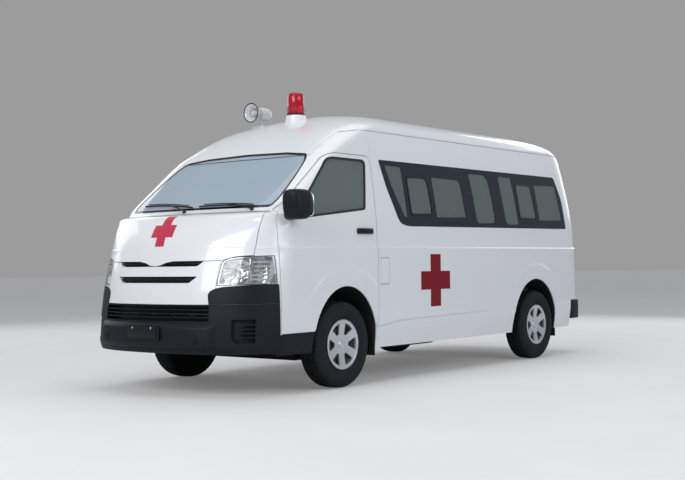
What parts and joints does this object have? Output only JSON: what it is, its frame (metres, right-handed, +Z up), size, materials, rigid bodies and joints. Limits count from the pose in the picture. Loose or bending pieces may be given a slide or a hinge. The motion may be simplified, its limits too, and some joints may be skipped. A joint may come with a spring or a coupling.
{
  "type": "ambulance",
  "caption": "White van-based ambulance with high roof, red crosses, tinted side windows, roof beacon and siren horn, opening front doors, bonnet and tailgate, and rolling wheels.",
  "frame": {"origin": "on the ground, midway between the front and rear ends and the two sides", "axes": "+Z up, -Y towards the front of the vehicle, +X towards its left side"},
  "size_m": [2.038, 5.38, 2.4422],
  "materials": {
    "white_paint": "gloss white paint",
    "floor_grey": "grey floor covering over painted steel",
    "clear_glass": "clear glass",
    "tinted_glass": "dark tinted glass",
    "black_plastic": "moulded black plastic",
    "grey_plastic": "moulded grey plastic",
    "black_rubber": "black rubber",
    "lamp_clear": "clear lamp cover",
    "lamp_red": "red lamp cover",
    "bare_steel": "machined steel",
    "white_plastic": "white plastic",
    "beacon_lens": "coloured beacon lens",
    "beacon_mirror": "polished reflector",
    "horn_grey": "light grey paint",
    "frame_black": "black chassis paint",
    "cast_grey": "cast metal",
    "exhaust_steel": "dull steel",
    "tyre_rubber": "tyre rubber",
    "seat_fabric": "woven grey cloth",
    "wheel_rim": "black grained plastic",
    "cover_silver": "silver paint"
  },
  "bodies": {
    "body": {"roof": "white_paint", "side_panel_left": "white_paint", "side_panel_right": "white_paint", "front_body": "white_paint", "sliding_door": "white_paint", "grille": "white_paint", "floor": "floor_grey", "windscreen": "clear_glass", "side_windows": "tinted_glass", "front_bumper": "black_plastic", "wipers": "black_plastic", "rear_bumper": "grey_plastic", "dashboard": "grey_plastic", "mud_flaps": "black_rubber", "headlamps": "lamp_clear", "tail_lamps": "lamp_red", "hinge_pins": "bare_steel", "beacon_base": "white_plastic", "beacon_lens": "beacon_lens", "siren_horn": "horn_grey", "chassis_frame": "frame_black", "front_suspension": "frame_black", "rear_axle": "frame_black", "leaf_springs": "frame_black", "fuel_tank": "frame_black", "driveline": "frame_black", "engine": "cast_grey", "exhaust": "exhaust_steel", "spare_wheel": "tyre_rubber", "front_seats": "seat_fabric", "attendant_bench": "seat_fabric"},
    "door_left": {"front_door_left": "white_paint", "door_window_left": "clear_glass", "mirror_left": "black_plastic"},
    "door_right": {"front_door_right": "white_paint", "door_window_right": "clear_glass"},
    "tailgate": {"tailgate": "white_paint", "tailgate_window": "clear_glass"},
    "bonnet": {"bonnet": "white_paint"},
    "fuel_flap": {"fuel_flap": "white_paint"},
    "steering_rack": {"steering_rack": "bare_steel"},
    "knuckle_left": {"knuckle_left": "frame_black"},
    "knuckle_right": {"knuckle_right": "frame_black"},
    "steering_wheel": {"steering_wheel": "wheel_rim"},
    "beacon_reflector": {"beacon_reflector": "beacon_mirror"},
    "wheel_front_left": {"tyre_front_left": "tyre_rubber", "wheel_front_left": "cover_silver"},
    "wheel_front_right": {"tyre_front_right": "tyre_rubber", "wheel_front_right": "cover_silver"},
    "wheel_rear_left": {"tyre_rear_left": "tyre_rubber", "wheel_rear_left": "cover_silver"},
    "wheel_rear_right": {"tyre_rear_right": "tyre_rubber", "wheel_rear_right": "cover_silver"}
  },
  "joints": [
    {"name": "door_left_hinge", "type": "hinge", "parent": "body", "child": "door_left", "pos_m": [0.92298, -2.23, 0.75], "axis": [0, 0, -1], "range_deg": [0, 65]},
    {"name": "door_right_hinge", "type": "hinge", "parent": "body", "child": "door_right", "pos_m": [-0.92298, -2.23, 0.75], "axis": [0, 0, 1], "range_deg": [0, 65]},
    {"name": "tailgate_hinge", "type": "hinge", "parent": "body", "child": "tailgate", "pos_m": [0, 2.3929, 2.052], "axis": [1, 0, 0], "range_deg": [0, 85]},
    {"name": "bonnet_hinge", "type": "hinge", "parent": "body", "child": "bonnet", "pos_m": [0, -2.3152, 1.359], "axis": [-1, 0, 0], "range_deg": [0, 50]},
    {"name": "fuel_flap_hinge", "type": "hinge", "parent": "body", "child": "fuel_flap", "pos_m": [0.934, -1.011, 0.905], "axis": [0, 0, -1], "range_deg": [0, 85]},
    {"name": "knuckle_left_turn", "type": "hinge", "parent": "body", "child": "knuckle_left", "pos_m": [0.7575, -1.49, 0.338], "axis": [0, 0, 1], "range_deg": [-35, 35]},
    {"name": "knuckle_right_turn", "type": "hinge", "parent": "body", "child": "knuckle_right", "pos_m": [-0.7575, -1.49, 0.338], "axis": [0, 0, 1], "range_deg": [-35, 35]},
    {"name": "rack_slide", "type": "slide", "parent": "body", "child": "steering_rack", "axis": [1, 0, 0], "range_m": [-0.07, 0.07]},
    {"name": "steering_wheel_turn", "type": "hinge", "parent": "body", "child": "steering_wheel", "pos_m": [0.4, -1.91, 1.165], "axis": [0, 0.6157, 0.788], "range_deg": [-540, 540]},
    {"name": "beacon_turn", "type": "hinge", "parent": "body", "child": "beacon_reflector", "pos_m": [0, -0.96, 2.3], "axis": [0, 0, 1], "continuous": true},
    {"name": "wheel_front_left_spin", "type": "hinge", "parent": "knuckle_left", "child": "wheel_front_left", "pos_m": [0.8275, -1.49, 0.338], "axis": [1, 0, 0], "continuous": true},
    {"name": "wheel_front_right_spin", "type": "hinge", "parent": "knuckle_right", "child": "wheel_front_right", "pos_m": [-0.8275, -1.49, 0.338], "axis": [1, 0, 0], "continuous": true},
    {"name": "wheel_rear_left_spin", "type": "hinge", "parent": "body", "child": "wheel_rear_left", "pos_m": [0.8275, 1.62, 0.338], "axis": [1, 0, 0], "continuous": true},
    {"name": "wheel_rear_right_spin", "type": "hinge", "parent": "body", "child": "wheel_rear_right", "pos_m": [-0.8275, 1.62, 0.338], "axis": [1, 0, 0], "continuous": true}
  ],
  "couplings": [
    {"joint": "knuckle_right_turn", "follows": "knuckle_left_turn", "ratio": 1},
    {"joint": "rack_slide", "follows": "knuckle_left_turn", "m_per_rad": 0.1126},
    {"joint": "steering_wheel_turn", "follows": "knuckle_left_turn", "ratio": 15}
  ]
}
